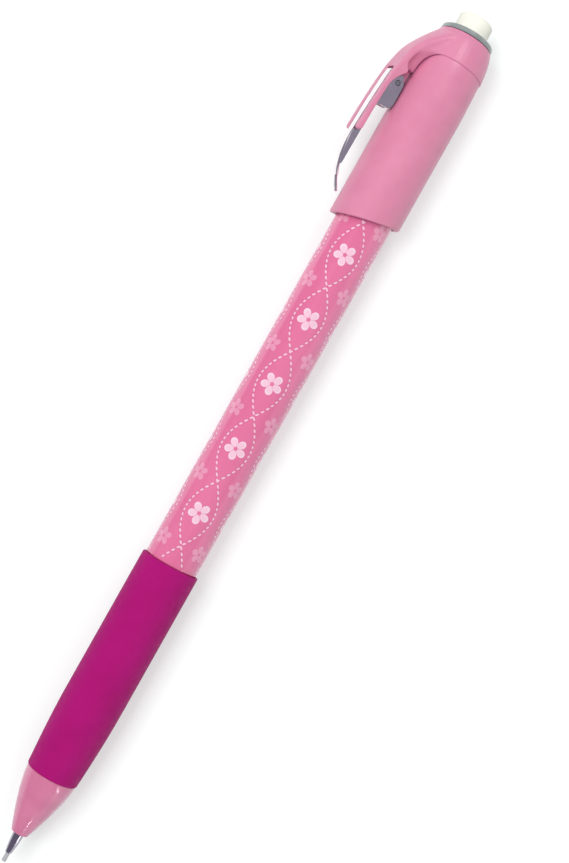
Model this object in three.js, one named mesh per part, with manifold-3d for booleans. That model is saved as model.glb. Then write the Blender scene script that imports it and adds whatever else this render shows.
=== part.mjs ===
// A clutch pencil for marking fabric, with a soft grip, a screw-on nose, and a click cap with a spring clip
// and an eraser. Sizes are millimetres. Each piece is made upright on the pencil's own axis: y runs from the
// writing point to the eraser, and x points from the axis to the clip. The whole pencil is then laid on its
// side.
import * as THREE from "three";
import { mergeVertices } from "three/addons/utils/BufferGeometryUtils.js";
import Module from "manifold-3d";

const wasm = await Module();
wasm.setup();

// Lengths along the axis, in order from the writing point.
const leadStickOut = 1.5;
const tipInView = 3.5;
const noseInView = 10.4;
const gripLength = 37.3;
const barrelInView = 61.1;
const capSleeveLength = 27;
const hoodLength = 4.9;
const collarHeight = 0.85;
const eraserInView = 3.1;

// Diameters and walls of the outside.
const leadDiameter = 0.7;
const tipEndDiameter = 1.05;
const tipRootDiameter = 1.8;
const noseEndDiameter = 2.93;
const barrelDiameter = 8.77;
const barrelWall = 0.83;
const barrelFrontWall = 0.8;
const gripEdgeWall = 0.45;
const gripProud = 0.43;
const gripTaper = 13;
const noseLip = 0.13;
const capWall = 0.915;
const capRimSlant = 0.253;
const capTopTaper = 0.22;
const capTopTaperLength = 7;
const hoodOverhang = 0.14;
const collarDiameter = 8.84;
const hoodTopLedge = 0.1;
const eraserDiameter = 5.65;
const eraserCupWall = 0.45;
const eraserCupFloor = 2;
const hoodSkirtLength = 2.4;

// The clip, measured outwards from the cap's surface and down from the hood's lower edge.
const clipReach = 4.22;
const clipRailsDrop = 16.2;
const clipTipDrop = 25.75;
const clipTipStandOff = 1.4;
const clipTipWidth = 0.55;
const clipTipTaper = 0.62;
const clipArmWidth = 4.36;
const clipSlotWidth = 2.05;
const clipSlotDrop = 5;
const clipSlotFit = 0.4;
const railDepth = 0.85;
const railRootDepth = 0.67;
const armRootDepth = 2.1;
const armHoodDepth = 1.1;
const armWebWidth = 1.2;
const plateThickness = 0.45;
const flangeThickness = 0.32;
const flangeStandOff = 2.9;
const lugDrop = 11;
const pinDrop = 6.7;
const pinStandOff = 1.4;
const pinDiameter = 0.7;
const bossThickness = 1;
const clipRaise = THREE.MathUtils.degToRad(27);

// The feed mechanism inside.
const capTravel = 4;
const leadAdvance = 0.8;
const leadLength = 60;
const spareLeadCount = 3;
const noseHoleLength = 1.9;
const tipFlangeLength = 1.6;
const tipFlangeDepth = 0.6;
const retainerLength = 1.5;
const chuckWall = 0.35;
const chuckFlare = 0.4;
const chuckHeadLength = 0.6;
const chuckConeLength = 2.4;
const chuckSlitWidth = 0.22;
const chuckSlitLength = 8;
const clutchRingWall = 0.28;
const clutchRingLength = 2.2;
const chuckSleeveWall = 0.3;
const noseShankWall = 0.55;
const noseShankLength = 6.1;
const sleeveFlangeThickness = 0.8;
const sleeveTailLength = 1.6;
const springLength = 11.2;
const springWire = 0.3;
const springTurns = 8;
const leadTubeDiameter = 4.4;
const leadTubeWall = 0.5;
const tubeNeckWall = 0.4;
const chuckSeatLength = 3;
const tubeFunnelLength = 3.6;

// Clearances: on the radius between sliding and between pressed pieces, and along the axis between pieces that
// sit against each other, in a seam that shows and in a seat that does not.
const slideFit = 0.2;
const pressFit = 0.1;
const leadFit = 0.06;
const seam = 0.1;
const seat = 0.3;

// Sides of the round pieces.
const outerSides = 40;
const innerSides = 24;
const leadSides = 12;

// Places along the axis.
const noseStart = leadStickOut + tipInView;
const noseEnd = noseStart + noseInView;
const gripStart = noseEnd + seam;
const gripEnd = gripStart + gripLength;
const barrelShoulder = gripEnd + seam;
const rimMiddle = barrelShoulder + barrelInView;
const hoodStart = rimMiddle + capSleeveLength;
const hoodUnderside = hoodStart + seam;
const hoodEnd = hoodStart + hoodLength;
const collarStart = hoodEnd + seam;
const collarEnd = collarStart + collarHeight;
const eraserEnd = collarEnd + eraserInView;
const tipFlangeStart = noseStart + noseHoleLength + seam;
const tipFlangeEnd = tipFlangeStart + tipFlangeLength;
const retainerStart = tipFlangeEnd + slideFit;
const retainerEnd = retainerStart + retainerLength;
const chuckStart = retainerEnd + seat + capTravel;
const clutchRingStart = chuckStart + chuckHeadLength;
const clutchRingEnd = clutchRingStart + clutchRingLength;
const clutchStop = clutchRingStart - leadAdvance - slideFit;
const noseShankEnd = noseEnd + noseShankLength;
const sleeveFlangeStart = noseShankEnd + seat;
const sleeveFlangeEnd = sleeveFlangeStart + sleeveFlangeThickness;
const chuckSleeveEnd = sleeveFlangeEnd + sleeveTailLength;
const springStart = chuckSleeveEnd + seat;
const springEnd = springStart + springLength;
const tubeShoulder = springEnd + seat;
const tubeNeckStart = chuckSleeveEnd + capTravel + 2 * seat;
const chuckEnd = tubeNeckStart + chuckSeatLength;
const funnelStart = Math.max(chuckEnd + seat, tubeShoulder - tubeFunnelLength);
const funnelEnd = funnelStart + tubeFunnelLength;
const cupStart = hoodStart - hoodSkirtLength - seat;
const eraserSeat = cupStart + eraserCupFloor;
const barrelEnd = cupStart - capTravel - seat;

// Radii, from the lead outwards.
const leadRadius = leadDiameter / 2;
const leadBore = leadRadius + leadFit;
const tipFlangeRadius = tipRootDiameter / 2 + tipFlangeDepth;
const noseBore = tipFlangeRadius + pressFit;
const chuckBore = leadRadius + slideFit;
const chuckShankRadius = chuckBore + chuckWall;
const chuckHeadRadius = chuckShankRadius + chuckFlare;
const clutchRingRadius = chuckHeadRadius + pressFit + clutchRingWall;
const chuckSleeveBore = clutchRingRadius + slideFit;
const chuckSleeveRadius = chuckSleeveBore + chuckSleeveWall;
const noseShankBore = chuckSleeveRadius + pressFit;
const noseShankRadius = noseShankBore + noseShankWall;
const barrelFrontBore = noseShankRadius + pressFit;
const barrelSeatRadius = barrelFrontBore + barrelFrontWall;
const tubeNeckBore = chuckShankRadius + pressFit;
const tubeNeckRadius = tubeNeckBore + tubeNeckWall;
const springRadius = tubeNeckRadius + slideFit + springWire / 2;
const leadTubeRadius = leadTubeDiameter / 2;
const leadTubeBore = leadTubeRadius - leadTubeWall;
const barrelMidBore = leadTubeRadius + seat;
const barrelRadius = barrelDiameter / 2;
const barrelBore = barrelRadius - barrelWall;
const gripBore = barrelSeatRadius + pressFit;
const gripFrontRadius = gripBore + gripEdgeWall;
const gripRadius = barrelRadius + gripProud;
const noseRadius = gripFrontRadius - noseLip;
const capBore = barrelRadius + slideFit;
const capRadius = capBore + capWall;
const capTopRadius = capRadius - capTopTaper;
const hoodRadius = capTopRadius + hoodOverhang;
const hoodTopRadius = collarDiameter / 2 + hoodTopLedge;
const eraserRadius = eraserDiameter / 2;
const eraserCupBore = eraserRadius + pressFit;
const eraserCupRadius = eraserCupBore + eraserCupWall;
const hoodBore = eraserCupRadius + pressFit;
const pinRadius = pinDiameter / 2;

const cube = (width, height, depth) => new THREE.BoxGeometry(width, height, depth);

// Turns an outline of [radius, y] pairs about the axis. The outline runs up the outside and down the inside.
function revolve(outline, sides) {
  const points = outline.map(([radius, y]) => new THREE.Vector2(radius, y));
  return new THREE.LatheGeometry(points, sides);
}

// A tube's outline is closed by coming back to its first point.
function revolveTube(outline, sides) {
  return revolve([...outline, outline[0]], sides);
}

function solidOf(geometry) {
  const bare = geometry.clone();
  bare.deleteAttribute("normal");
  bare.deleteAttribute("uv");
  const merged = mergeVertices(bare, 1e-4);
  return new wasm.Manifold(
    new wasm.Mesh({
      numProp: 3,
      vertProperties: merged.getAttribute("position").array,
      triVerts: new Uint32Array(merged.index.array),
    }),
  );
}

function geometryOf(solid) {
  const mesh = solid.getMesh();
  const geometry = new THREE.BufferGeometry();
  geometry.setAttribute("position", new THREE.BufferAttribute(mesh.vertProperties, mesh.numProp));
  geometry.setIndex(new THREE.BufferAttribute(mesh.triVerts, 1));
  geometry.computeVertexNormals();
  return geometry;
}

// Joins a row of closed loops, each with the same number of points, into one skin with flat ends.
function loft(loops) {
  const size = loops[0].length;
  const positions = loops.flat().flatMap((point) => point.toArray());
  const index = [];
  for (let row = 0; row + 1 < loops.length; row++) {
    for (let i = 0; i < size; i++) {
      const a = row * size + i;
      const b = row * size + ((i + 1) % size);
      index.push(a, b, b + size, a, b + size, a + size);
    }
  }
  const last = (loops.length - 1) * size;
  for (let i = 1; i + 1 < size; i++) {
    index.push(0, i + 1, i);
    index.push(last, last + i, last + i + 1);
  }
  const geometry = new THREE.BufferGeometry();
  geometry.setAttribute("position", new THREE.Float32BufferAttribute(positions, 3));
  geometry.setIndex(index);
  geometry.computeVertexNormals();
  return geometry;
}

// Extrudes an outline of the x-y plane to a thickness along z, centred on z = middle.
function slab(points, thickness, middle = 0, edge = 0) {
  const geometry = new THREE.ExtrudeGeometry(new THREE.Shape(points), {
    depth: thickness - 2 * edge,
    bevelEnabled: edge > 0,
    bevelThickness: edge,
    bevelSize: edge,
    bevelOffset: -edge,
    bevelSegments: 1,
  });
  return geometry.translate(0, 0, middle - thickness / 2 + edge);
}

// A round bar along z.
function crossBar(radius, length, x, y, sides) {
  return new THREE.CylinderGeometry(radius, radius, length, sides).rotateX(Math.PI / 2).translate(x, y, 0);
}

const smooth = THREE.MathUtils.smoothstep;
const pairs = (curve, steps) => curve.getPoints(steps).map((point) => [point.x, point.y]);

function tipCone() {
  const endRadius = tipEndDiameter / 2;
  const rootRadius = tipRootDiameter / 2;
  const side = new THREE.QuadraticBezierCurve(
    new THREE.Vector2(endRadius, leadStickOut),
    new THREE.Vector2(rootRadius - 0.04, leadStickOut + 0.55 * tipInView),
    new THREE.Vector2(rootRadius, noseStart),
  );
  return revolveTube(
    [
      [leadBore, leadStickOut],
      ...pairs(side, 5),
      [rootRadius, tipFlangeStart],
      [tipFlangeRadius, tipFlangeStart],
      [tipFlangeRadius, tipFlangeEnd],
      [leadBore, tipFlangeEnd],
    ],
    innerSides,
  );
}

function leadRetainer() {
  return revolveTube(
    [
      [leadBore, retainerStart],
      [tipFlangeRadius, retainerStart],
      [tipFlangeRadius, retainerEnd],
      [leadBore, retainerEnd],
    ],
    innerSides,
  );
}

// The nose is a blunt bullet with a round bore for the tip and the chuck, and a shank that screws into the
// barrel.
function noseCone() {
  const endRadius = noseEndDiameter / 2;
  const cornerRound = 0.18;
  const side = new THREE.QuadraticBezierCurve(
    new THREE.Vector2(endRadius, noseStart + cornerRound),
    new THREE.Vector2(noseRadius - 0.14, noseStart + 0.66 * noseInView),
    new THREE.Vector2(noseRadius, noseEnd - cornerRound),
  );
  const neck = tipRootDiameter / 2 + pressFit;
  return revolveTube(
    [
      [neck, noseStart],
      [endRadius - cornerRound, noseStart],
      [endRadius - 0.3 * cornerRound, noseStart + 0.3 * cornerRound],
      ...pairs(side, 10),
      [noseRadius - 0.5 * cornerRound, noseEnd],
      [noseShankRadius, noseEnd],
      [noseShankRadius, noseShankEnd],
      [noseShankBore, noseShankEnd],
      [noseShankBore, clutchStop],
      [noseBore, clutchStop],
      [noseBore, noseStart + noseHoleLength],
      [neck, noseStart + noseHoleLength],
    ],
    outerSides,
  );
}

function grip() {
  const edge = 0.15;
  const side = new THREE.QuadraticBezierCurve(
    new THREE.Vector2(gripFrontRadius, gripStart + seam),
    new THREE.Vector2(gripRadius, gripStart + 0.6 * gripTaper),
    new THREE.Vector2(gripRadius, gripStart + gripTaper),
  );
  return revolveTube(
    [
      [gripBore, gripStart],
      [gripFrontRadius - seam, gripStart],
      ...pairs(side, 6),
      [gripRadius, gripEnd - edge],
      [gripRadius - 0.3 * edge, gripEnd - 0.3 * edge],
      [gripRadius - edge, gripEnd],
      [gripBore, gripEnd],
    ],
    outerSides,
  );
}

// The barrel is a thin tube that steps in under the grip and carries the nose and the mechanism at its front.
function barrel() {
  const front = gripStart + slideFit;
  const mechanismShoulder = sleeveFlangeEnd + seat;
  const edge = 0.2;
  return revolveTube(
    [
      [barrelFrontBore, front],
      [barrelSeatRadius, front],
      [barrelSeatRadius, barrelShoulder],
      [barrelRadius - edge, barrelShoulder],
      [barrelRadius, barrelShoulder + edge],
      [barrelRadius, barrelEnd - edge],
      [barrelRadius - edge, barrelEnd],
      [barrelBore, barrelEnd],
      [barrelBore, barrelShoulder + 4],
      [barrelMidBore, barrelShoulder + 1],
      [barrelMidBore, mechanismShoulder],
      [barrelFrontBore, mechanismShoulder],
    ],
    outerSides,
  );
}

// A brass collet: a thin tube with a flared head, split into three jaws.
function chuck() {
  const coneEnd = clutchRingStart + chuckConeLength;
  const body = revolveTube(
    [
      [chuckBore, chuckStart],
      [chuckHeadRadius - 0.1, chuckStart],
      [chuckHeadRadius, chuckStart + 0.1],
      [chuckHeadRadius, clutchRingStart],
      [chuckShankRadius, coneEnd],
      [chuckShankRadius, chuckEnd],
      [chuckBore, chuckEnd],
    ],
    innerSides,
  );
  let jaws = solidOf(body);
  const jawCount = 3;
  const reach = 2 * chuckHeadRadius;
  for (let i = 0; i < jawCount; i++) {
    const slit = cube(reach, 2 * chuckSlitLength, chuckSlitWidth)
      .translate(reach / 2, chuckStart, 0)
      .rotateY((i * 2 * Math.PI) / jawCount);
    jaws = jaws.subtract(solidOf(slit));
  }
  return geometryOf(jaws);
}

// The ring's bore follows the collet's cone, and pinches the jaws until the ring meets its stop in the nose.
function clutchRing() {
  const coneEnd = clutchRingStart + chuckConeLength;
  const slope = chuckFlare / (coneEnd - clutchRingStart);
  const coneRadius = (y) => chuckShankRadius + slope * (coneEnd - y);
  return revolveTube(
    [
      [coneRadius(clutchRingStart) + pressFit, clutchRingStart],
      [clutchRingRadius, clutchRingStart],
      [clutchRingRadius, clutchRingEnd],
      [coneRadius(clutchRingEnd) + pressFit, clutchRingEnd],
    ],
    innerSides,
  );
}

function chuckSleeve() {
  const flangeRadius = noseShankRadius;
  const tailBore = chuckShankRadius + slideFit;
  const ringSeat = clutchRingEnd + seat;
  return revolveTube(
    [
      [chuckSleeveBore, clutchStop + seat],
      [chuckSleeveRadius, clutchStop + seat],
      [chuckSleeveRadius, sleeveFlangeStart],
      [flangeRadius, sleeveFlangeStart],
      [flangeRadius, sleeveFlangeEnd],
      [chuckSleeveRadius, sleeveFlangeEnd],
      [chuckSleeveRadius, chuckSleeveEnd],
      [tailBore, chuckSleeveEnd],
      [tailBore, ringSeat],
      [chuckSleeveBore, ringSeat],
    ],
    innerSides,
  );
}

// One round wire wound from the chuck sleeve to the shoulder of the lead tube.
function returnSpring() {
  const stepsPerTurn = 8;
  const wireSides = 5;
  const wireRadius = springWire / 2;
  const firstY = springStart + wireRadius;
  const climb = springLength - springWire;
  const loops = [];
  for (let step = 0; step <= springTurns * stepsPerTurn; step++) {
    const turn = (step / stepsPerTurn) * 2 * Math.PI;
    const out = new THREE.Vector3(Math.cos(turn), 0, Math.sin(turn));
    const middle = out.clone().multiplyScalar(springRadius);
    middle.y = firstY + (climb * step) / (springTurns * stepsPerTurn);
    const loop = [];
    for (let side = 0; side < wireSides; side++) {
      const angle = (side / wireSides) * 2 * Math.PI;
      const point = middle.clone().addScaledVector(out, wireRadius * Math.cos(angle));
      point.y += wireRadius * Math.sin(angle);
      loop.push(point);
    }
    loops.push(loop);
  }
  return loft(loops);
}

// The magazine tube: a narrow neck on the chuck, a shoulder for the spring and a funnel inside.
function leadTube() {
  const end = eraserSeat - seat;
  return revolveTube(
    [
      [tubeNeckBore, tubeNeckStart],
      [tubeNeckRadius, tubeNeckStart],
      [tubeNeckRadius, tubeShoulder],
      [leadTubeRadius, tubeShoulder],
      [leadTubeRadius, end],
      [leadTubeBore, end],
      [leadTubeBore, funnelEnd],
      [chuckBore, funnelStart],
      [chuckBore, chuckEnd + seam],
      [tubeNeckBore, chuckEnd + seam],
    ],
    outerSides,
  );
}

function leadRod(start) {
  return revolve(
    [
      [0, start],
      [leadRadius, start],
      [leadRadius, start + leadLength],
      [0, start + leadLength],
    ],
    leadSides,
  );
}

// The cap's tube. Its rim lies in a slanted plane, lowest under the clip.
function capSleeve() {
  const rimEdge = 0.15;
  const geometry = revolveTube(
    [
      [capBore + rimEdge, rimMiddle],
      [capRadius - rimEdge, rimMiddle],
      [capRadius, rimMiddle + rimEdge],
      [capRadius, hoodStart - capTopTaperLength],
      [capRadius - 0.3 * capTopTaper, hoodStart - 0.6 * capTopTaperLength],
      [capTopRadius, hoodStart],
      [capBore, hoodStart],
      [capBore, rimMiddle + rimEdge],
    ],
    outerSides,
  );
  const place = geometry.getAttribute("position");
  for (let i = 0; i < place.count; i++) {
    if (place.getY(i) < rimMiddle + 2 * rimEdge) {
      place.setY(i, place.getY(i) - capRimSlant * place.getX(i));
    }
  }
  return geometry;
}

// The side of the hood, from its top down to its lower edge.
const hoodEdge = 0.08;
const hoodLine = new THREE.QuadraticBezierCurve(
  new THREE.Vector2(hoodTopRadius, hoodEnd),
  new THREE.Vector2(THREE.MathUtils.lerp(hoodTopRadius, hoodRadius, 0.81), hoodStart + 0.65 * hoodLength),
  new THREE.Vector2(hoodRadius, hoodUnderside + hoodEdge),
);

// The outer line of the clip, seen from the side, from the top of the hood to the end of the rails.
const armLine = new THREE.CubicBezierCurve(
  new THREE.Vector2(hoodTopRadius + 0.08, hoodStart + 0.94 * hoodLength),
  new THREE.Vector2(capRadius + 0.732 * clipReach, hoodStart - 0.038 * clipRailsDrop),
  new THREE.Vector2(capRadius + 0.854 * clipReach, hoodStart - 0.1 * clipRailsDrop),
  new THREE.Vector2(capRadius + clipReach, hoodStart - clipRailsDrop),
);

// The arm's foot lies this far from the axis, inside the cap. It spreads over this height below the hood, and
// its side then reaches this far round the hood. At its top the face is this share of the hood's radius wide.
const armFoot = 2.5;
const armSpread = 1.05;
const armBlend = THREE.MathUtils.degToRad(52);
const armTopShare = 0.75;
const armTop = hoodStart + 0.9 * hoodLength;

// The rounding of the face's long edges on the rails and at the arm's root, and the slight crown of the face.
const railCorner = 0.16;
const rootCorner = 0.9;
const faceCrown = 0.06;

// The distance of such a line from the axis at a height y, found by halving.
function radiusAt(line, y) {
  let low = 0;
  let high = 1;
  for (let i = 0; i < 30; i++) {
    const middle = (low + high) / 2;
    if (line.getPoint(middle).y > y) {
      low = middle;
    } else {
      high = middle;
    }
  }
  return line.getPoint(low).x;
}

// The arm is a thin rail below, and thickens in a fillet at its root. Under the hood a narrow web ties it to
// the cap.
const railEnd = hoodStart - clipRailsDrop;
const slotTop = hoodStart - clipSlotDrop;
const filletLow = slotTop - 3.4;
const filletHigh = slotTop + 0.1;

function armDepthAt(y) {
  const onRail = Math.min(y, filletLow);
  const rail = THREE.MathUtils.mapLinear(onRail, railEnd, filletLow, railDepth, railRootDepth);
  const rise = THREE.MathUtils.clamp((y - filletLow) / (filletHigh - filletLow), 0, 1);
  const fillet = THREE.MathUtils.lerp(rail, armRootDepth, rise ** 2);
  return THREE.MathUtils.lerp(fillet, armHoodDepth, smooth(y, filletHigh, filletHigh + 1.5));
}

// One section across the arm at a height y. A scooped side runs from the web's foot out to the edge of the
// nearly flat outer face. Near the hood the foot spreads, the corners grow rounder and the face widens and
// arches, until all meet the hood's round.
function armSection(y, shrink) {
  const outer = radiusAt(armLine, y) - shrink;
  const hoodHere = radiusAt(hoodLine, y);
  const widening = smooth(y, hoodStart - 3.2, hoodEnd + 1);
  const half = THREE.MathUtils.lerp(clipArmWidth / 2, armTopShare * hoodRadius, widening) - shrink / 2;
  const arch = outer - Math.sqrt(hoodHere ** 2 - half ** 2);
  const archStart = hoodStart - 2.1;
  const rise = THREE.MathUtils.clamp((y - archStart) / (armTop - archStart), 0, 1);
  const crown = THREE.MathUtils.lerp(faceCrown, arch, rise ** 2);
  const face = (share) => [outer - crown * share ** 2, half * share];
  const corner = THREE.MathUtils.lerp(railCorner, rootCorner, smooth(y, filletHigh, hoodStart + 1));
  const inner = Math.min(outer + 2 * shrink - armDepthAt(y), outer - crown - 1.3 * corner);
  const webX = THREE.MathUtils.lerp(inner, armFoot, smooth(y, filletHigh, filletHigh + 1.4));
  const web = new THREE.Vector2(webX, armWebWidth / 2);
  const underHood = 0.98 * hoodHere;
  const onHood = new THREE.Vector2(Math.cos(armBlend), Math.sin(armBlend)).multiplyScalar(underHood);
  const spread = Math.exp(Math.min(y - hoodStart, 0) / armSpread);
  const foot = web.lerp(onHood, spread);
  const tangentX = (hoodHere - half * Math.sin(armBlend)) / Math.cos(armBlend);
  const scoopBend = new THREE.Vector2(inner, foot.y);
  const hoodBend = new THREE.Vector2(Math.min(inner, tangentX), half);
  const bend = scoopBend.lerp(hoodBend, spread);
  const side = new THREE.QuadraticBezierCurve(foot, bend, new THREE.Vector2(inner, half));
  const edgeStart = new THREE.Vector2(outer - crown - corner, half);
  const edgeEnd = new THREE.Vector2(...face(1 - corner / half));
  const round = new THREE.QuadraticBezierCurve(edgeStart, new THREE.Vector2(outer - crown, half), edgeEnd);
  const right = [
    ...pairs(side, 5),
    ...pairs(round, 3),
    face(0.55),
    face(0.28),
  ];
  const left = right.map(([x, z]) => [x, -z]).reverse();
  return [...right, [outer, 0], ...left].map(([x, z]) => new THREE.Vector3(x, y, z));
}

// The hood closes the cap, carries the collar, and reaches out and down as two rails with a slot between them.
function clipHood() {
  const cap = revolveTube(
    [
      [hoodBore, hoodStart - hoodSkirtLength],
      [capBore - pressFit, hoodStart - hoodSkirtLength],
      [capBore - pressFit, hoodUnderside],
      [hoodRadius - hoodEdge, hoodUnderside],
      ...pairs(hoodLine, 7).reverse(),
      [hoodBore, hoodEnd],
    ],
    outerSides,
  );
  const loops = [];
  const endRound = 0.4;
  for (const [rise, shrink] of [
    [0, 0.3],
    [0.12, 0.12],
    [endRound, 0],
  ]) {
    loops.push(armSection(railEnd + rise, shrink));
  }
  for (const [low, high, steps] of [
    [railEnd + endRound, filletLow, 5],
    [filletLow, filletHigh + 0.9, 9],
    [filletHigh + 0.9, hoodStart - 1.6, 6],
    [hoodStart - 1.6, hoodStart + 0.4, 9],
    [hoodStart + 0.4, armTop, 8],
  ]) {
    for (let i = 1; i <= steps; i++) {
      loops.push(armSection(THREE.MathUtils.lerp(low, high, i / steps), 0));
    }
  }
  const slotHeight = slotTop - railEnd + 1;
  const outerSpace = clipReach + 4;
  const slot = cube(outerSpace, slotHeight, clipSlotWidth).translate(
    capRadius + 1.5 + outerSpace / 2,
    slotTop - slotHeight / 2,
    0,
  );
  const pocketTop = slotTop + 0.9;
  const pocketDepth = 2.75;
  const pocket = cube(pocketDepth, slotHeight, clipSlotWidth).translate(
    capBore + pocketDepth / 2,
    pocketTop - slotHeight / 2,
    0,
  );
  const sleeveSpace = revolve(
    [
      [0, hoodStart - clipTipDrop],
      [capRadius + seam, hoodStart - clipTipDrop],
      [capRadius + seam, hoodStart - capTopTaperLength],
      [capTopRadius + seam, hoodUnderside],
      [0, hoodUnderside],
    ],
    outerSides,
  );
  const cupSpace = revolve(
    [
      [0, hoodStart - hoodSkirtLength - 1],
      [hoodBore, hoodStart - hoodSkirtLength - 1],
      [hoodBore, collarEnd],
      [0, collarEnd],
    ],
    outerSides,
  );
  const arm = solidOf(loft(loops))
    .subtract(solidOf(sleeveSpace))
    .subtract(solidOf(slot))
    .subtract(solidOf(pocket))
    .add(solidOf(pinBoss()));
  return geometryOf(arm.add(solidOf(cap)).subtract(solidOf(cupSpace)));
}

// A rib under the arm's root that holds the clip's pin.
function pinBoss() {
  const pinX = capRadius + pinStandOff;
  const pinY = hoodStart - pinDrop;
  const low = capRadius + slideFit;
  const high = pinX + pinRadius + 0.45;
  const chamfer = 0.45;
  const end = pinY - pinRadius - 0.6;
  const root = slotTop + 1.5;
  const rib = slab(
    [
      new THREE.Vector2(low, root),
      new THREE.Vector2(low, end + chamfer),
      new THREE.Vector2(low + chamfer, end),
      new THREE.Vector2(high - chamfer, end),
      new THREE.Vector2(high, end + chamfer),
      new THREE.Vector2(high, root),
    ],
    bossThickness,
  );
  const hole = crossBar(pinRadius + pressFit, clipArmWidth, pinX, pinY, 12);
  return geometryOf(solidOf(rib).subtract(solidOf(hole)));
}

function clipPin() {
  return crossBar(pinRadius, clipSlotWidth - 2 * pressFit, capRadius + pinStandOff, hoodStart - pinDrop, 12);
}

// Steps along the bend of the metal clip, and how many of them are its narrow tip.
const bendSteps = 12;
const tipSteps = 3;

// The outer line of the metal clip: flush in the slot, then curving in to its tip.
function plateLine() {
  const flush = 0.05;
  const top = slotTop - clipSlotFit;
  const points = [];
  const steps = 6;
  for (let i = 0; i < steps; i++) {
    const y = THREE.MathUtils.lerp(top, railEnd, i / steps);
    points.push(new THREE.Vector2(radiusAt(armLine, y) - flush, y));
  }
  const free = clipTipDrop - clipRailsDrop;
  const start = new THREE.Vector2(capRadius + clipReach - flush, railEnd);
  const end = new THREE.Vector2(capRadius + clipTipStandOff, hoodStart - clipTipDrop);
  const bend = new THREE.CubicBezierCurve(
    start,
    new THREE.Vector2(start.x + 0.2, railEnd - 0.42 * free),
    new THREE.Vector2(THREE.MathUtils.lerp(end.x, start.x, 0.78), railEnd - 0.7 * free),
    end,
  );
  return [...points, ...bend.getPoints(bendSteps)];
}

// The same line moved inwards by a distance, square to itself.
function movedIn(line, distance) {
  return line.map((point, i) => {
    const before = line[Math.max(i - 1, 0)];
    const after = line[Math.min(i + 1, line.length - 1)];
    const along = after.clone().sub(before).normalize();
    return new THREE.Vector2(point.x + along.y * distance, point.y - along.x * distance);
  });
}

// A sprung steel channel: a face plate that ends in a narrow tip, two side flanges, and lugs at the flanges'
// tops that turn on the pin. The whole channel grows narrower towards its tip.
function clip() {
  const line = plateLine();
  const inner = movedIn(line, plateThickness);
  const width = clipSlotWidth - 2 * pressFit;
  const edge = 0.12;
  const plateEnd = line.length - tipSteps;
  const plate = slab([...line.slice(0, plateEnd), ...inner.slice(0, plateEnd).reverse()], width, 0, edge);
  const tipStart = plateEnd - 2;
  const tipWidth = clipTipWidth / clipTipTaper;
  const tip = slab([...line.slice(tipStart), ...inner.slice(tipStart).reverse()], tipWidth, 0, edge);
  const flangeEdge = capRadius + flangeStandOff;
  const lugEdge = capRadius + seat;
  const pinX = capRadius + pinStandOff;
  const pinY = hoodStart - pinDrop;
  const lugEnd = hoodStart - lugDrop;
  const top = line[0].y;
  const middle = movedIn(line, plateThickness / 2).filter((point) => point.x > flangeEdge + 0.1);
  const lowest = middle[middle.length - 1];
  const side = [
    ...middle,
    new THREE.Vector2(flangeEdge, lowest.y + 0.5),
    new THREE.Vector2(flangeEdge, lugEnd - 0.6),
    new THREE.Vector2(flangeEdge - 0.3, lugEnd - 0.1),
    new THREE.Vector2(flangeEdge - 0.9, lugEnd + 0.1),
    new THREE.Vector2(lugEdge + 0.7, lugEnd + 0.2),
    new THREE.Vector2(lugEdge + 0.2, lugEnd + 0.5),
    new THREE.Vector2(lugEdge, lugEnd + 1.1),
    new THREE.Vector2(lugEdge, pinY),
    new THREE.Vector2(lugEdge + 0.65, top),
  ];
  const flangeMiddle = (width - flangeThickness) / 2;
  const hole = crossBar(pinRadius + pressFit, clipArmWidth, pinX, pinY, 12);
  const whole = solidOf(plate)
    .add(solidOf(tip))
    .add(solidOf(slab(side, flangeThickness, flangeMiddle)))
    .add(solidOf(slab(side, flangeThickness, -flangeMiddle)))
    .subtract(solidOf(hole));
  const taperStart = railEnd + 4;
  const taperEnd = line[tipStart].y;
  const narrowed = whole.warp((point) => {
    const along = THREE.MathUtils.clamp((point[1] - taperEnd) / (taperStart - taperEnd), 0, 1);
    point[2] *= THREE.MathUtils.lerp(clipTipTaper, 1, along);
  });
  return geometryOf(narrowed);
}

// A collar that shows between the hood and the eraser, with a cup below it for the eraser and the lead tube.
function eraserHolder() {
  const collarRadius = collarDiameter / 2;
  const edge = 0.2;
  const tubeHole = leadTubeRadius + pressFit;
  return revolveTube(
    [
      [tubeHole, cupStart],
      [eraserCupRadius, cupStart],
      [eraserCupRadius, collarStart],
      [collarRadius - 0.1, collarStart],
      [collarRadius, collarStart + 0.1],
      [collarRadius, collarEnd - edge],
      [collarRadius - edge, collarEnd],
      [eraserCupBore, collarEnd],
      [eraserCupBore, eraserSeat],
      [tubeHole, eraserSeat],
    ],
    outerSides,
  );
}

function eraser() {
  const wornWidth = 1;
  const wornHeight = 0.6;
  const corner = new THREE.QuadraticBezierCurve(
    new THREE.Vector2(eraserRadius, eraserEnd - wornHeight),
    new THREE.Vector2(eraserRadius, eraserEnd),
    new THREE.Vector2(eraserRadius - wornWidth, eraserEnd),
  );
  return revolve(
    [
      [0, eraserSeat + seat],
      [eraserRadius, eraserSeat + seat],
      ...pairs(corner, 4),
      [0, eraserEnd],
    ],
    outerSides,
  );
}

const finish = (color, roughness, metalness = 0) =>
  new THREE.MeshStandardMaterial({ color, roughness, metalness });

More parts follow.
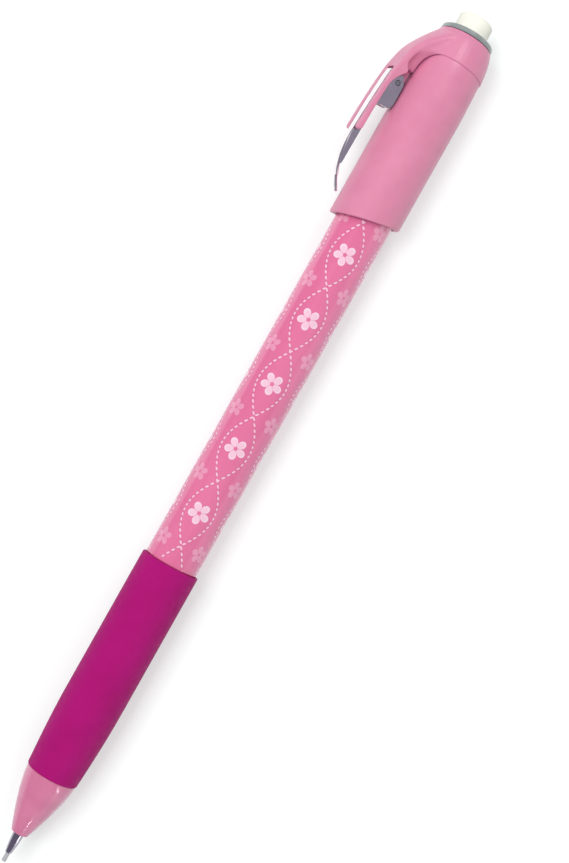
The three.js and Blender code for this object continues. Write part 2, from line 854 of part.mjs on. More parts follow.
const pinkPlastic = finish(0xdf7ba0, 0.35);
const barrelPlastic = finish(0xdb6c97, 0.2);
const gripRubber = finish(0xac1878, 0.75);
const chrome = finish(0xdadce0, 0.15, 1);
const brass = finish(0xc9a24d, 0.35, 1);
const steel = finish(0xb9bcc0, 0.3, 1);
const whitePlastic = finish(0xe9e6e2, 0.5);
const greyPlastic = finish(0x8c9694, 0.4);
const greyLead = finish(0xb4b4b8, 0.7);
const blackRubber = finish(0x2b2b2d, 0.8);
const eraserRubber = finish(0xfcfbee, 0.85);

function piece(name, geometry, material) {
  const mesh = new THREE.Mesh(geometry, material);
  mesh.name = name;
  return mesh;
}

const upright = new THREE.Group();
upright.add(
  piece("lead", leadRod(0), greyLead),
  piece("tip_cone", tipCone(), chrome),
  piece("lead_retainer", leadRetainer(), blackRubber),
  piece("nose_cone", noseCone(), pinkPlastic),
  piece("grip", grip(), gripRubber),
  piece("barrel", barrel(), barrelPlastic),
  piece("chuck", chuck(), brass),
  piece("clutch_ring", clutchRing(), brass),
  piece("chuck_sleeve", chuckSleeve(), brass),
  piece("return_spring", returnSpring(), steel),
  piece("lead_tube", leadTube(), whitePlastic),
  piece("cap_sleeve", capSleeve(), pinkPlastic),
  piece("clip_hood", clipHood(), pinkPlastic),
  piece("clip_pin", clipPin(), steel),
  piece("clip", clip(), chrome),
  piece("eraser_holder", eraserHolder(), greyPlastic),
  piece("eraser", eraser(), eraserRubber),
);

// Spare leads stand round the one in use, inside the lead tube.
for (let i = 0; i < spareLeadCount; i++) {
  const angle = (i / spareLeadCount) * 2 * Math.PI;
  const offset = leadTubeBore - leadRadius - slideFit;
  const spare = piece(`spare_lead_${i + 1}`, leadRod(funnelEnd + seat), greyLead);
  spare.position.set(offset * Math.cos(angle), 0, offset * Math.sin(angle));
  upright.add(spare);
}

// Lay the pencil along x with its point at the origin, and roll it until the clip is raised towards +z.
upright.rotation.z = Math.PI / 2;
const pencil = new THREE.Group();
pencil.add(upright);
pencil.rotation.x = Math.PI - clipRaise;

export default pencil;
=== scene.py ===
"""Looks of the fabric marking pencil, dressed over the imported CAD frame.

Places are in metres in the frame's own axes, with +X out of the writing point. Sizes in mm say so.
"""

import math

import bmesh
import bpy
import numpy as np
from mathutils import Matrix, Vector


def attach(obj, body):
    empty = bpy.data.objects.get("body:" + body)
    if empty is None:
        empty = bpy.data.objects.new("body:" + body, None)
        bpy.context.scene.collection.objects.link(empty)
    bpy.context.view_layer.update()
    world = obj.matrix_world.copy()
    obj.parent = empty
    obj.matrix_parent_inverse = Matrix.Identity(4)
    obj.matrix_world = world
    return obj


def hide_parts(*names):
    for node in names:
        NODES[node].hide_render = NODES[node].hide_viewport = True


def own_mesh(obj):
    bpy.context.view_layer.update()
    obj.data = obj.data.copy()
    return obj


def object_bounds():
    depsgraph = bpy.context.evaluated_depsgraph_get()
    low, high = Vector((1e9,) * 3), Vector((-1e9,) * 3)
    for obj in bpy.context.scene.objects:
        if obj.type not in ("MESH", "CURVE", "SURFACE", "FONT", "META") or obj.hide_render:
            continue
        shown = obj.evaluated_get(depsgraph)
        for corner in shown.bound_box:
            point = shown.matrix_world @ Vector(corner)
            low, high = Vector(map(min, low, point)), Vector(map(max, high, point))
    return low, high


MM = 0.001

# The photograph's camera. It looks straight down from above its foot, which lies in the middle column of the
# picture and some pixels below the centre. The pencil's direction in the picture runs from its point to its
# eraser, rightwards and upwards.
IMAGE_HEIGHT = 863
SENSOR_HEIGHT = 36
FOCAL_PIXELS = 1460.5
CAMERA_HEIGHT = 0.2270
CAMERA_FOOT = (-0.0724, 0.0093)
FOOT_BELOW_CENTRE = 52.8
AXIS_IN_PICTURE = (0.4914, 0.8710)

# The two directions across the pencil: towards the clip, which is raised from the level, and square to that.
CLIP_RAISE = math.radians(27)
TO_CLIP = Vector((0, -math.cos(CLIP_RAISE), math.sin(CLIP_RAISE)))
TO_SIDE = Vector((0, -math.sin(CLIP_RAISE), -math.cos(CLIP_RAISE)))

# Measures in mm, the same as in the CAD source, with places counted from the writing point. The slant of the
# cap's rim is a slope.
SEAM = 0.1
RIM_SLANT = 0.253
RIM_SLANT_END = 114.4
TUBE_SHOULDER = 36.0
TUBE_BORE = 1.7
TUBE_NECK_BORE = 1.0

# Sizes in mm that only the dressed pieces have. A lip is the last bit of a piece, drawn out to close a seam.
LIP_DEPTH = 0.3
SHOULDER_WALL = 0.28

# Points of a CAD node that lie closer together than this, in metres, are one point. The second value is for a
# turned piece's points on its axis, and the third is the radius in mm below which its outline meets the axis.
SAME_POINT = 2e-7
SAME_AXIS_POINT = 1e-8
ON_AXIS = 1e-4

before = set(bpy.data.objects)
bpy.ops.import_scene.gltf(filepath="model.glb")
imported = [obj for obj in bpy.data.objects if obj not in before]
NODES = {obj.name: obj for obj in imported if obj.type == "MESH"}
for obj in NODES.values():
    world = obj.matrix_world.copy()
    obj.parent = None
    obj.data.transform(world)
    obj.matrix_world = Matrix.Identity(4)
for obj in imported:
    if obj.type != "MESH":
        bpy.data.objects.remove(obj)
cad_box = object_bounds()


# Shapes
def at(a, toward_clip, aside):
    """The point with this place along the axis and these two distances from the axis, given in mm."""
    return Vector((-float(a) * MM, 0, 0)) + TO_CLIP * float(toward_clip * MM) + TO_SIDE * float(aside * MM)


def across(points):
    """The distances of points from the axis, towards the clip and aside of it."""
    return points @ np.array(TO_CLIP), points @ np.array(TO_SIDE)


def new_piece(node, mesh):
    obj = bpy.data.objects.new(node + "_piece", mesh)
    bpy.context.scene.collection.objects.link(obj)
    return obj


def finish_piece(obj, body, node, material, smooth_angle=35):
    """Shades a piece, gives it its material, hides its CAD node and ties it to its body."""
    mesh = obj.data
    bm = bmesh.new()
    bm.from_mesh(mesh)
    bmesh.ops.recalc_face_normals(bm, faces=bm.faces)
    bm.to_mesh(mesh)
    bm.free()
    mesh.shade_smooth()
    mesh.set_sharp_from_angle(angle=math.radians(smooth_angle))
    mesh.materials.clear()
    mesh.materials.append(material)
    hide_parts(node)
    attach(obj, body)


def weld(obj, distance):
    bm = bmesh.new()
    bm.from_mesh(obj.data)
    bmesh.ops.remove_doubles(bm, verts=bm.verts, dist=distance)
    bmesh.ops.recalc_face_normals(bm, faces=bm.faces)
    bm.to_mesh(obj.data)
    bm.free()


def apply_modifiers(obj):
    graph = bpy.context.evaluated_depsgraph_get()
    mesh = bpy.data.meshes.new_from_object(obj.evaluated_get(graph))
    obj.modifiers.clear()
    obj.data = mesh


def outline_of(node):
    """The outline of a round CAD node, as (radius, a) pairs in mm, and whether it is closed.

    It is read from the mesh's edges in one half plane. An open outline starts and ends on the axis.
    """
    mesh = NODES[node].data
    points = np.array([v.co for v in mesh.vertices], float) / MM
    a = -points[:, 0]
    clipward, aside = across(points)
    radius = np.hypot(clipward, aside)
    angle = np.arctan2(clipward, aside)
    in_half_plane = (np.abs(angle) < 0.01) | (radius < 1e-3)
    spots = {i: (round(radius[i], 3), round(a[i], 3)) for i in np.nonzero(in_half_plane)[0]}
    links = {}
    for edge in mesh.edges:
        p, q = (spots.get(i) for i in edge.vertices)
        if p is None or q is None or p == q or p[0] == q[0] == 0:
            continue
        links.setdefault(p, set()).add(q)
        links.setdefault(q, set()).add(p)
    ends = sorted(p for p, to in links.items() if len(to) == 1)
    start = ends[0] if ends else min(links)
    path = [start]
    before = None
    while True:
        ahead = sorted(p for p in links[path[-1]] if p != before)
        if not ahead or ahead[0] == start:
            return path, not ends
        before = path[-1]
        path.append(ahead[0])


def unit(vector):
    return vector / max(np.linalg.norm(vector), 1e-9)


def smoothed(points, closed, sharpest=24, steps=5):
    """The outline with its gentle bends made into curves, and for each point whether it is a sharp corner."""
    n = len(points)

    def is_sharp(i):
        if not closed and i in (0, n - 1):
            return True
        u = points[i] - points[i - 1]
        v = points[(i + 1) % n] - points[i]
        return math.degrees(abs(math.atan2(u[0] * v[1] - u[1] * v[0], u @ v))) > sharpest

    sharp = [is_sharp(i) for i in range(n)]
    line = []
    for i in range(n if closed else n - 1):
        j = (i + 1) % n
        p, q = points[i], points[j]
        line.append((p, sharp[i]))
        if sharp[i] and sharp[j]:
            continue
        length = np.linalg.norm(q - p)
        before = p if sharp[i] else points[i - 1]
        after = q if sharp[j] else points[(i + 2) % n]
        from_p = unit(q - before) * length
        to_q = unit(after - p) * length
        for k in range(1, steps):
            t = k / steps
            on_curve = (
                (2 * t**3 - 3 * t**2 + 1) * p
                + (t**3 - 2 * t**2 + t) * from_p
                + (-2 * t**3 + 3 * t**2) * q
                + (t**3 - t**2) * to_q
            )
            line.append((on_curve, False))
    if not closed:
        line.append((points[-1], False))
        line[0] = (points[0], False)
    return line


def rounded(path, closed, radius, share=0.4, steps=4):
    """The outline with its sharp corners turned into arcs and its gentle bends made smooth.

    An arc takes up radius mm of both its sides, or a share of the shorter one where that is less.
    """
    line = smoothed([np.array(p, float) for p in path], closed)
    out = []
    for i, (here, sharp) in enumerate(line):
        if not sharp:
            out.append(here)
            continue
        back = line[i - 1][0] - here
        ahead = line[(i + 1) % len(line)][0] - here
        cut = min(radius, share * np.linalg.norm(back), share * np.linalg.norm(ahead))
        p = here + unit(back) * cut
        q = here + unit(ahead) * cut
        for k in range(steps):
            t = k / (steps - 1)
            out.append((1 - t) ** 2 * p + 2 * t * (1 - t) * here + t**2 * q)
    return out


def with_shoulder_wall(path):
    """The lead tube's outline, its funnel kept inside the neck, which leaves a wall behind the shoulder."""
    funnel_end = (TUBE_BORE, TUBE_SHOULDER)
    i = min(range(len(path)), key=lambda k: math.dist(path[k], funnel_end))
    back = TUBE_SHOULDER + SHOULDER_WALL
    step = [(TUBE_BORE, back), (TUBE_NECK_BORE, back), (TUBE_NECK_BORE, TUBE_SHOULDER)]
    if path[i - 1][0] < TUBE_BORE:
        step.reverse()
    return path[:i] + step + path[i + 1 :]


def turned(
    node,
    body,
    material,
    sides=128,
    edge=0.06,
    slant_end=None,
    low_lip=0.0,
    high_lip=0.0,
    mend=None,
):
    """A round CAD node turned again with finer facets, and edges softened by edge mm.

    Its low end, up to slant_end, slants as the cap's rim does. The lips draw its ends out, and mend changes
    its outline first.
    """
    path, closed = outline_of(node)
    if mend:
        path = mend(path)
    low, high = min(a for _, a in path), max(a for _, a in path)
    widest = max(r for r, _ in path)
    line = [(min(max(r, 0.0), widest), min(max(a, low), high)) for r, a in rounded(path, closed, edge)]
    line = [(r, a - low_lip * (a < low + LIP_DEPTH) + high_lip * (a > high - LIP_DEPTH)) for r, a in line]
    on_axis = [r < ON_AXIS and not closed for r, _ in line]
    rows = len(line)
    verts, faces = [], []
    for k in range(sides):
        angle = 2 * math.pi * k / sides
        for r, a in line:
            if slant_end is not None and a < slant_end:
                a -= RIM_SLANT * r * math.cos(angle)
            verts.append(at(a, r * math.cos(angle), r * math.sin(angle)))
    for k in range(sides):
        here, beside = k * rows, (k + 1) % sides * rows
        for i in range(rows if closed else rows - 1):
            j = (i + 1) % rows
            if on_axis[i]:
                faces.append((here + i, here + j, beside + j))
            elif on_axis[j]:
                faces.append((here + i, here + j, beside + i))
            else:
                faces.append((here + i, here + j, beside + j, beside + i))
    mesh = bpy.data.meshes.new(node + "_piece")
    mesh.from_pydata([tuple(v) for v in verts], [], faces)
    mesh.validate()
    obj = new_piece(node, mesh)
    finish_piece(obj, body, node, material)
    weld(obj, SAME_AXIS_POINT)


def copied(node, body, material, bevel=0.0, smooth_angle=35):
    """A CAD node's own shape, its flat facets joined, and its edges bevelled where bevel mm are given."""
    obj = new_piece(node, NODES[node].data.copy())
    weld(obj, SAME_POINT)
    bm = bmesh.new()
    bm.from_mesh(obj.data)
    bmesh.ops.dissolve_limit(bm, angle_limit=math.radians(0.5), verts=bm.verts, edges=bm.edges)
    bm.to_mesh(obj.data)
    bm.free()
    if bevel:
        modifier = obj.modifiers.new("soft_edges", "BEVEL")
        modifier.width = bevel * MM
        modifier.segments = 2
        modifier.limit_method = "ANGLE"
        modifier.angle_limit = math.radians(40)
        apply_modifiers(obj)
    finish_piece(obj, body, node, material, smooth_angle)
    return obj


def moulded(node, body, material, voxel, even_rounds, soft_rounds, softness, faces):
    """A CAD node's own shape with its edges and joins run together, as in a moulding.

    Its skin is made anew on a grid of voxel mm. It is evened out all over for a few rounds, then for more
    rounds where softness says, from 0 to 1, and at last it is brought down to about so many faces.
    """
    obj = new_piece(node, NODES[node].data.copy())
    weld(obj, SAME_POINT)
    remesh = obj.modifiers.new("even_skin", "REMESH")
    remesh.mode = "VOXEL"
    remesh.voxel_size = voxel * MM
    apply_modifiers(obj)
    mesh = obj.data
    count = len(mesh.vertices)
    place = np.empty(count * 3)
    mesh.vertices.foreach_get("co", place)
    place = place.reshape(-1, 3)
    edges = np.empty(len(mesh.edges) * 2, int)
    mesh.edges.foreach_get("vertices", edges)
    edges = edges.reshape(-1, 2)
    here, there = np.concatenate([edges, edges[:, ::-1]]).T
    neighbours = np.bincount(here, minlength=count)[:, None]
    for share in [np.ones(count)] * even_rounds + [softness(place)] * soft_rounds:
        total = np.stack([np.bincount(here, place[there, i], minlength=count) for i in range(3)], 1)
        place += 0.5 * share[:, None] * (total / neighbours - place)
    mesh.vertices.foreach_set("co", place.ravel())
    mesh.update()
    fewer = obj.modifiers.new("fewer_faces", "DECIMATE")
    fewer.ratio = min(1.0, faces / (2 * len(mesh.polygons)))
    apply_modifiers(obj)
    finish_piece(obj, body, node, material, smooth_angle=180)


# Materials
WHITE = (1, 1, 1, 1)


def srgb(r, g, b):
    """A colour written as in a picture, from 0 to 255, as the shaders want it."""

    def linear(c):
        c /= 255
        return c / 12.92 if c <= 0.04045 else ((c + 0.055) / 1.055) ** 2.4

    return (linear(r), linear(g), linear(b), 1)


class Tree:
    """A short way to write a node tree."""

    def __init__(self, tree):
        self.tree = tree

    def add(self, kind):
        return self.tree.nodes.new(kind)

    def link(self, source, target):
        self.tree.links.new(source, target)

    def feed(self, value, socket):
        if hasattr(value, "is_output"):
            self.link(value, socket)
        else:
            socket.default_value = value

    def math(self, operation, *values):
        node = self.add("ShaderNodeMath")
        node.operation = operation
        for value, socket in zip(values, node.inputs):
            self.feed(value, socket)
        return node.outputs[0]

    def times(self, a, b):
        return self.math("MULTIPLY", a, b)

    def remap(self, value, from_low, from_high, to_low, to_high, smooth=False):
        node = self.add("ShaderNodeMapRange")
        if smooth:
            node.interpolation_type = "SMOOTHSTEP"
        names = ("Value", "From Min", "From Max", "To Min", "To Max")
        for name, number in zip(names, (value, from_low, from_high, to_low, to_high)):
            self.feed(number, node.inputs[name])
        return node.outputs[0]

    def mix(self, factor, a, b):
        node = self.add("ShaderNodeMix")
        node.data_type = "RGBA"
        self.feed(factor, node.inputs["Factor"])
        self.feed(a, node.inputs["A"])
        self.feed(b, node.inputs["B"])
        return node.outputs["Result"]

    def split(self, vector):
        node = self.add("ShaderNodeSeparateXYZ")
        self.link(vector, node.inputs[0])
        return node.outputs


class Material(Tree):
    """A material around one Principled shader, with sizes in mm."""

    def __init__(self, name):
        self.material = bpy.data.materials.new(name)
        self.material.use_nodes = True
        super().__init__(self.material.node_tree)
        self.tree.nodes.clear()
        out = self.add("ShaderNodeOutputMaterial")
        self.bsdf = self.add("ShaderNodeBsdfPrincipled")
        self.link(self.bsdf.outputs[0], out.inputs["Surface"])

    def set(self, **sockets):
        """Feeds the shader's sockets, whose names have underscores for spaces."""
        for name, value in sockets.items():
            self.feed(value, self.bsdf.inputs[name.replace("_", " ")])

    def position(self):
        """The resting place on the pencil."""
        coords = self.add("ShaderNodeTexCoord")
        scale = self.add("ShaderNodeVectorMath")
        scale.operation = "SCALE"
        self.link(coords.outputs["Object"], scale.inputs[0])
        scale.inputs["Scale"].default_value = 1 / MM
        return scale.outputs[0]

    def noise(self, size, detail=2.0, stretch=None):
        """Noise with grains of about this size. stretch lengthens them along the pencil."""
        where = self.position()
        if stretch:
            mapping = self.add("ShaderNodeMapping")
            mapping.inputs["Scale"].default_value = (1 / stretch, 1, 1)
            self.link(where, mapping.inputs["Vector"])
            where = mapping.outputs[0]
        node = self.add("ShaderNodeTexNoise")
        node.inputs["Scale"].default_value = 1 / size
        node.inputs["Detail"].default_value = detail
        self.link(where, node.inputs["Vector"])
        return node.outputs[0]

    def between(self, low, high, noise):
        """A number that wanders from low to high with a noise."""
        return self.remap(noise, 0.3, 0.7, low, high)

    def bump(self, height, depth):
        """Relief that is depth high where height is 1."""
        node = self.add("ShaderNodeBump")
        node.inputs["Strength"].default_value = 1
        node.inputs["Distance"].default_value = depth * MM
        self.feed(height, node.inputs["Height"])
        return node.outputs[0]

    def shaded_grooves(self, color, groove_shade, reach, deep, shallow):
        """The colour run into a darker colour in grooves and joins, from shallow to deep ones by how open
        they are: painted shade where less light reaches.
        """
        node = self.add("ShaderNodeAmbientOcclusion")
        node.samples = 8
        node.inputs["Distance"].default_value = reach * MM
        return self.mix(self.remap(node.outputs["AO"], deep, shallow, 1, 0), color, groove_shade)


def plastic(name, light, dark, rough=(0.3, 0.4), coat=0.0, grain=0.004, speck=0.25, soft=0.0, groove_shade=None):
    n = Material(name)
    color = n.mix(n.between(0, 1, n.noise(3.5, 3)), dark, light)
    # painted shade: the colour darkens in grooves and joins, where less light reaches
    if groove_shade:
        color = n.shaded_grooves(color, groove_shade, 2.0, 0.2, 0.75)
    n.set(
        Base_Color=color,
        Roughness=n.between(*rough, n.noise(1.4, 4)),
        Normal=n.bump(n.noise(speck, 2), grain),
        Coat_Weight=coat,
        Coat_Roughness=0.08,
        IOR=1.5,
    )
    if soft:
        n.set(Subsurface_Weight=soft, Subsurface_Radius=(1.0, 0.45, 0.5), Subsurface_Scale=0.6 * MM)
    return n.material


def metal(name, color, rough=(0.1, 0.2), stretch=12, groove_shade=None):
    n = Material(name)
    darker = (*[c * 0.8 for c in color[:3]], 1)
    color = n.mix(n.remap(n.noise(2.0, 2), 0.35, 0.65, 0, 0.35), color, darker)
    # painted shade: the colour darkens in grooves and slots, where less light reaches
    if groove_shade:
        color = n.shaded_grooves(color, groove_shade, 0.6, 0.45, 0.85)
    scratches = n.noise(0.12, 3, stretch)
    n.set(
        Base_Color=color,
        Roughness=n.between(*rough, scratches),
        Normal=n.bump(scratches, 0.002),
        Metallic=1.0,
    )
    return n.material


def rubber(name, light, dark, rough=(0.55, 0.7), grain=0.012, speck=0.18, sheen=0.1, gloss=0.5):
    n = Material(name)
    n.set(
        Base_Color=n.mix(n.between(0, 1, n.noise(5, 3)), dark, light),
        Roughness=n.between(*rough, n.noise(0.9, 3)),
        Normal=n.bump(n.noise(speck, 3), grain),
        Sheen_Weight=sheen,
        Sheen_Roughness=0.4,
        Specular_IOR_Level=gloss,
        IOR=1.45,
    )
    return n.material


# The print on the barrel, in mm: chains of stitched loops, each made by two lines of running stitch that
# swing apart and cross, with a white blossom in each loop and pale ones between the chains.
CHAINS_AROUND = 4
CHAIN_MIDDLE = math.radians(88)
SWING_LENGTH = 22.6
SWING = 2.45
STITCH = 0.78
STITCH_SHARE = 0.62
STITCH_HALF_WIDTH = 0.15
# the width of the painted shadow beside the stitches
STITCH_SHADOW_WIDTH = 0.14
PETALS = 5
BLOSSOM = 1.8
BLOSSOM_TURN = 0.35
PALE_BLOSSOM = 1.45
PALE_BLOSSOM_TURN = 1.1
INK_BLUR = 0.03
PRINT_START = 53.4
PRINT_RADIUS = 4.385


def blossoms(n, u, v, size, turn):
    """The masks of the petals and hearts of blossoms centred where u and v are nought."""
    r = n.math("SQRT", n.math("ADD", n.times(u, u), n.times(v, v)))
    theta = n.math("ADD", n.math("ARCTAN2", v, u), turn)
    lobe = n.math("POWER", n.math("ABSOLUTE", n.math("COSINE", n.times(theta, PETALS / 2))), 0.55)
    edge = n.times(n.math("ADD", n.times(lobe, 0.72), 0.28), size)
    inside = n.math("SUBTRACT", edge, r)
    petal = n.remap(inside, -0.02, 0.05, 0, 1)
    off_eye = n.remap(r, size * 0.16, size * 0.2, 0, 1)
    off_gap = n.remap(n.times(lobe, r), size * 0.07, size * 0.12, 0, 1)
    petal = n.times(n.times(petal, off_eye), off_gap)
    heart = n.remap(inside, size * 0.12, size * 0.2, 0, 1)
    return petal, n.times(heart, petal)


def barrel_print(n):
    """The masks of the stitches, the painted shadow beside them, the white blossoms, their hearts and the
    pale blossoms.
    """

    def minus(a, b):
        return n.math("SUBTRACT", a, b)

    def size_of(value):
        return n.math("ABSOLUTE", value)

    def repeated(value, start, half):
        return n.math("WRAP", minus(value, start), half, -half)

    x, y, z = n.split(n.position())
    along = n.times(x, -1.0)
    around = n.times(minus(n.math("ARCTAN2", z, y), CHAIN_MIDDLE), PRINT_RADIUS)
    half_pitch = math.pi * PRINT_RADIUS / CHAINS_AROUND
    waves = 2 * math.pi / SWING_LENGTH

    off_chain = repeated(around, 0, half_pitch)
    phase = n.times(along, waves)
    swing = n.times(size_of(n.math("SINE", phase)), SWING)
    slope = n.times(n.math("COSINE", phase), SWING * waves)
    lean = n.math("SQRT", n.math("ADD", n.times(slope, slope), 1.0))
    off_line = n.math("DIVIDE", minus(size_of(off_chain), swing), lean)
    off_dash = minus(size_of(repeated(along, 0, STITCH / 2)), STITCH * STITCH_SHARE / 2 - STITCH_HALF_WIDTH)
    off_dash = n.math("MAXIMUM", off_dash, 0.0)
    off = n.math("SQRT", n.math("ADD", n.times(off_dash, off_dash), n.times(off_line, off_line)))
    stitches = n.remap(off, STITCH_HALF_WIDTH - INK_BLUR, STITCH_HALF_WIDTH + INK_BLUR, 1, 0)
    # a painted shadow: a dark rim just outside each stitch
    stitch_shadow = n.remap(off, STITCH_HALF_WIDTH + 0.02, STITCH_HALF_WIDTH + STITCH_SHADOW_WIDTH, 1, 0)

    in_loop = repeated(along, SWING_LENGTH / 4, SWING_LENGTH / 4)
    at_crossing = repeated(along, 0, SWING_LENGTH / 4)
    between_chains = repeated(around, half_pitch, half_pitch)
    white, heart = blossoms(n, off_chain, in_loop, BLOSSOM, BLOSSOM_TURN)
    pale, _ = blossoms(n, between_chains, at_crossing, PALE_BLOSSOM, PALE_BLOSSOM_TURN)

    printed = n.remap(along, PRINT_START, PRINT_START + 0.02, 0, 1)
    return [n.times(mask, printed) for mask in (stitches, stitch_shadow, white, heart, pale)]


def barrel_material():
    n = Material("barrel_plastic_printed")
    stitches, stitch_shadow, white, heart, pale = barrel_print(n)
    pink = n.mix(n.between(0, 1, n.noise(4.0, 2, stretch=6)), srgb(228, 124, 166), srgb(235, 136, 175))
    streak = n.remap(n.noise(0.9, 3, stretch=60), 0.45, 0.75, 0, 0.2)
    color = n.mix(streak, pink, srgb(238, 156, 186))
    # the stitches' painted shadow, darkening the pink beside them
    color = n.mix(n.times(stitch_shadow, 0.4), color, srgb(186, 62, 112))
    color = n.mix(n.times(pale, 0.42), color, srgb(250, 214, 228))
    color = n.mix(white, color, srgb(252, 240, 245))
    color = n.mix(n.times(heart, 0.5), color, srgb(246, 200, 218))
    color = n.mix(stitches, color, srgb(251, 222, 234))
    ink = n.math("MAXIMUM", n.math("MAXIMUM", stitches, white), pale)
    n.set(
        Base_Color=color,
        Roughness=n.remap(ink, 0, 1, 0.24, 0.36),
        Normal=n.bump(ink, 0.01),
        Coat_Weight=0.9,
        Coat_Roughness=0.06,
        Coat_IOR=1.5,
        Coat_Tint=srgb(255, 232, 243),
        Subsurface_Weight=0.12,
        Subsurface_Radius=(1.0, 0.4, 0.5),
        Subsurface_Scale=0.8 * MM,
    )
    return n.material


pink_satin = plastic(
    "pink_plastic_satin",
    srgb(226, 142, 173),
    srgb(221, 135, 167),
    rough=(0.3, 0.38),
    grain=0.003,
    soft=0.1,
    # painted shade for the grooves
    groove_shade=srgb(178, 92, 134),
)
pink_gloss = plastic(
    "pink_plastic_gloss",
    srgb(224, 134, 170),
    srgb(214, 120, 158),
    rough=(0.16, 0.24),
    coat=0.6,
    grain=0.002,
    soft=0.15,
)
collar_grey = plastic(
    "collar_grey",
    srgb(150, 158, 157),
    srgb(134, 144, 142),
    rough=(0.18, 0.28),
    coat=0.5,
    grain=0.002,
    # painted shade for the grooves
    groove_shade=srgb(88, 96, 96),
)
lead_grey = plastic(
    "lead_grey",
    srgb(200, 200, 205),
    srgb(180, 180, 186),
    rough=(0.45, 0.6),
    grain=0.01,
    speck=0.08,
)
tube_white = plastic("tube_white", srgb(236, 233, 228), srgb(226, 223, 218), rough=(0.42, 0.55))
barrel_pink = barrel_material()
magenta = rubber("grip_rubber_soft", srgb(177, 14, 119), srgb(170, 11, 112), sheen=0.0, gloss=0.25)
black_rubber = rubber("retainer_black", srgb(50, 50, 52), srgb(38, 38, 40))
eraser_white = rubber(
    "eraser_soft",
    srgb(254, 253, 243),
    srgb(249, 248, 235),
    rough=(0.75, 0.9),
    grain=0.02,
    speck=0.12,
    sheen=0.05,
)
# the dark colour is painted shade for the slot and grooves
chrome = metal("chrome_bright", srgb(248, 241, 243), rough=(0.08, 0.18), groove_shade=srgb(84, 52, 84))
tip_metal = metal("chrome_of_the_tip", srgb(176, 172, 182), rough=(0.06, 0.14), stretch=0.1)
brass = metal("brass_turned", srgb(205, 168, 92), rough=(0.22, 0.34), stretch=0.1)
steel = metal("steel_drawn", srgb(188, 190, 194), rough=(0.22, 0.34))


# Pieces

# The root of the clip hood's arm, in mm: a stretch along the pencil, outside a radius and beyond a distance
# towards the clip. The hood's lower rim stays sharp there, up to where the arm's back covers it.
ROOT_START = 136.6
ROOT_END = 145.6
ROOT_RADIUS = 4.3
ROOT_CLIPWARD = 3.2
HOOD_RIM = 141.1
HOOD_RIM_CLIPWARD = 5.7


def arm_root_softness(place):
    """How far the hood's skin is smoothed: fully at the root of its arm, and not at its rims."""

    def rise(value, start, span):
        return np.clip((value - start) / span, 0, 1)

    a = -place[:, 0] / MM
    clipward, aside = (distance / MM for distance in across(place))
    along = rise(a, ROOT_START, 1.0) * rise(-a, -ROOT_END, 0.5)
    outward = rise(np.hypot(clipward, aside), ROOT_RADIUS, 0.2)
    on_arm = rise(clipward, ROOT_CLIPWARD, 0.8)
    off_rim = np.maximum(rise(np.abs(a - HOOD_RIM), 0.15, 0.3), rise(clipward, HOOD_RIM_CLIPWARD, 0.3))
    return along * outward * on_arm * off_rim


turned("lead", "lead", lead_grey, sides=48, edge=0.04)
turned("tip_cone", "tip", tip_metal, sides=96, edge=0.05)
turned("lead_retainer", "tip", black_rubber, sides=48)
turned("nose_cone", "nose", pink_gloss, sides=160, edge=0.08)
turned("grip", "barrel", magenta, sides=160, edge=0.12, low_lip=0.8 * SEAM, high_lip=SEAM)
turned("barrel", "barrel", barrel_pink, sides=192, edge=0.08)
turned("clutch_ring", "lead", brass, sides=64)
turned("chuck_sleeve", "barrel", brass, sides=64)
turned("lead_tube", "cap", tube_white, sides=96, mend=with_shoulder_wall)
turned(
    "cap_sleeve",
    "cap",
    pink_satin,
    sides=192,
    edge=0.04,
    slant_end=RIM_SLANT_END,
    high_lip=SEAM,
)
turned("eraser_holder", "cap", collar_grey, sides=160, edge=0.08)
turned("eraser", "eraser", eraser_white, sides=128, edge=0.3)
copied("chuck", "cap", brass)
spring = copied("return_spring", "barrel", steel, smooth_angle=80)
copied("clip_pin", "cap", steel)
moulded(
    "clip_hood",
    "cap",
    pink_satin,
    voxel=0.09,
    even_rounds=2,
    soft_rounds=20,
    softness=arm_root_softness,
    faces=60000,
)
copied("clip", "clip", chrome, bevel=0.05, smooth_angle=20)
for spare in ("spare_lead_1", "spare_lead_2", "spare_lead_3"):
    copied(spare, "cap", lead_grey)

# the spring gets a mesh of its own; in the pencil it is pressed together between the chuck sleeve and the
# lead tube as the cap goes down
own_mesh(spring)


# Studio

# The floor's own glow near the pencil, and the distances in mm from the writing point between which it rises
# to full white.
FLOOR_GLOW = 0.44
FLOOR_GLOW_START = 250
FLOOR_GLOW_END = 1100


def camera():
    """The photograph's camera. Returns the directions to the right and to the top of its picture."""
    right = Vector((-AXIS_IN_PICTURE[0], AXIS_IN_PICTURE[1], 0)).normalized()
    up = Vector((-AXIS_IN_PICTURE[1], -AXIS_IN_PICTURE[0], 0)).normalized()
    data = bpy.data.cameras.new("camera")
    data.sensor_fit = "VERTICAL"
    data.sensor_height = SENSOR_HEIGHT
    data.lens = FOCAL_PIXELS / IMAGE_HEIGHT * SENSOR_HEIGHT
    data.shift_y = FOOT_BELOW_CENTRE / IMAGE_HEIGHT
    data.clip_start = 0.005
    data.clip_end = 20
    obj = bpy.data.objects.new("camera", data)
    basis = Matrix((right, up, right.cross(up))).transposed()
    obj.matrix_world = Matrix.Translation((*CAMERA_FOOT, CAMERA_HEIGHT)) @ basis.to_4x4()
    bpy.context.scene.collection.objects.link(obj)
    bpy.context.scene.camera = obj
    return right, up


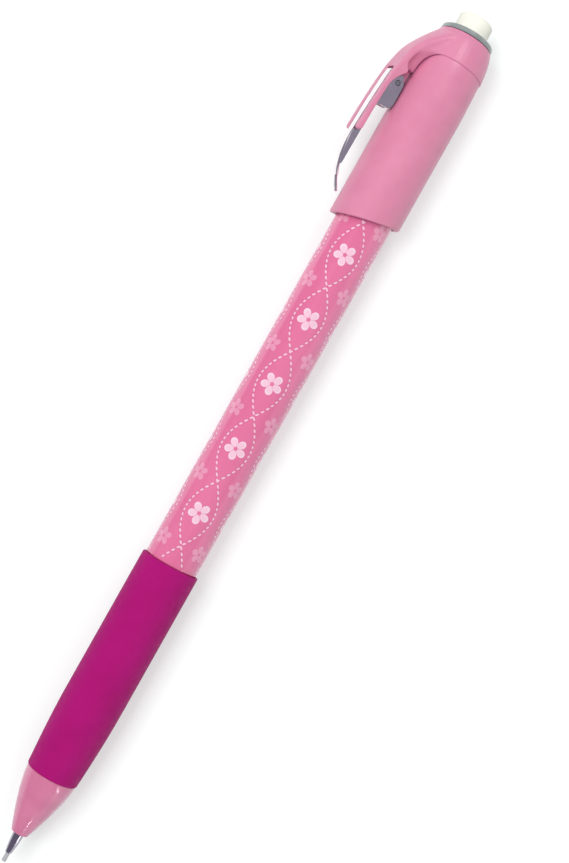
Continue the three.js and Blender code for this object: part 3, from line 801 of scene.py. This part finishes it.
def area_light(name, target, offset, power, size, size_y=None, seen=True):
    """A lamp that stands off its target and faces it. One that isn't seen shows in no reflection."""
    data = bpy.data.lights.new(name, "AREA")
    data.energy = power
    data.size = size
    if size_y:
        data.shape = "RECTANGLE"
        data.size_y = size_y
    obj = bpy.data.objects.new(name, data)
    obj.visible_glossy = seen
    obj.location = target + offset
    obj.rotation_euler = (-offset).to_track_quat("-Z", "Y").to_euler()
    bpy.context.scene.collection.objects.link(obj)


def lamps(right, up):
    middle = Vector((-0.082, 0, 0))
    hood = Vector((-0.14, 0, 0))
    nose = Vector((-0.02, 0, 0))
    upper_left = -0.14 * right + 0.1 * up + Vector((0, 0, 0.45))
    from_hood = Vector((-0.17, 0.05, 0.24))
    from_side = Vector((0.19, 0.36, 0.19))
    from_front = Vector((0.32, 0.17, 0.17))
    area_light("key", middle, upper_left, power=1.26, size=0.22, seen=False)
    area_light("top_glint", hood, from_hood, power=0.17, size=0.08)
    area_light("side_glint", nose, from_side, power=0.1, size=0.03, size_y=0.12)
    area_light("front_glint", nose, from_front, power=0.03, size=0.014, size_y=0.02)


def mirrored(tree, paths):
    """Whether a ray comes from a mirroring surface or through a clear one."""
    return tree.math("MAXIMUM", paths.outputs["Is Glossy Ray"], paths.outputs["Is Transmission Ray"])


def floor_material():
    """Pale paper that shows white, but for the object's shadow, and glows up to full white far off."""
    n = Material("floor_paper")
    paths = n.add("ShaderNodeLightPath")
    seen = n.math("MAXIMUM", paths.outputs["Is Camera Ray"], mirrored(n, paths))
    distance = n.add("ShaderNodeVectorMath")
    distance.operation = "LENGTH"
    n.link(n.position(), distance.inputs[0])
    glow = n.remap(distance.outputs["Value"], FLOOR_GLOW_START, FLOOR_GLOW_END, FLOOR_GLOW, 1.0)
    n.set(
        Base_Color=(0.6, 0.63, 0.625, 1),
        Roughness=1.0,
        Specular_IOR_Level=0,
        Emission_Color=WHITE,
        Emission_Strength=n.times(seen, glow),
    )
    return n.material


def floor(half=3.0):
    low = min(corner[2] for corner in cad_box)
    corners = [(-half, -half, low), (half, -half, low), (half, half, low), (-half, half, low)]
    mesh = bpy.data.meshes.new("floor")
    mesh.from_pydata(corners, [], [(0, 1, 2, 3)])
    mesh.materials.append(floor_material())
    obj = bpy.data.objects.new("floor", mesh)
    bpy.context.scene.collection.objects.link(obj)


def surroundings():
    """White behind the object and an even grey light, while metal mirrors a dark ceiling.

    The ceiling turns white towards the horizon, sooner on the right than on the left.
    """
    world = bpy.data.worlds.new("studio")
    world.use_nodes = True
    tree = Tree(world.node_tree)
    paths = tree.add("ShaderNodeLightPath")
    coords = tree.add("ShaderNodeTexCoord")
    _, y, z = tree.split(coords.outputs["Generated"])
    height = tree.math("SUBTRACT", z, tree.times(y, 0.35))
    ceiling = tree.mix(tree.remap(height, 0, 0.35, 0, 1, smooth=True), WHITE, (0.25, 0.23, 0.3, 1))
    light = tree.mix(mirrored(tree, paths), (0.46, 0.46, 0.46, 1), ceiling)
    shown = tree.mix(paths.outputs["Is Camera Ray"], light, WHITE)
    tree.link(shown, world.node_tree.nodes["Background"].inputs["Color"])
    bpy.context.scene.world = world


right, up = camera()
lamps(right, up)
floor()
surroundings()
bpy.context.scene.view_settings.view_transform = "Standard"
